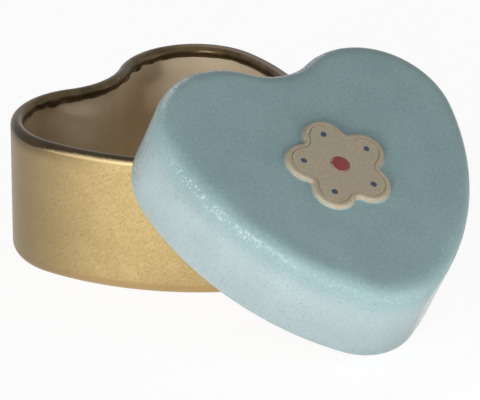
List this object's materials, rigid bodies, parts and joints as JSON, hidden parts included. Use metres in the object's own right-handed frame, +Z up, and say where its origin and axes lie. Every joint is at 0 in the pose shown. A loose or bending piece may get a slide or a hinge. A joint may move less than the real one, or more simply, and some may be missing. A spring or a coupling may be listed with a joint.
{
  "type": "heart-shaped tin box with lid",
  "caption": "Small heart-shaped tin keepsake box for milk teeth, with a rolled rim; its slip-on lid is off and leans on the rim.",
  "frame": {"origin": "middle of the box's underside, halfway along the heart's width and length, on the surface that it stands on", "axes": "+Z up out of the open box; -Y towards the heart's tip; +X to the right when the tip points to the viewer"},
  "size_m": [0.0636, 0.0951, 0.0444],
  "materials": {
    "gold_tin": "brushed gold lacquer",
    "blue_paint": "matt speckled enamel"
  },
  "bodies": {
    "box": {"box_shell": "gold_tin"},
    "lid": {"lid_shell": "blue_paint"}
  },
  "joints": [
    {"name": "lid_lift", "type": "slide", "parent": "box", "child": "lid", "axis": [0, 0, 1], "range_m": [0, 0.05]}
  ]
}
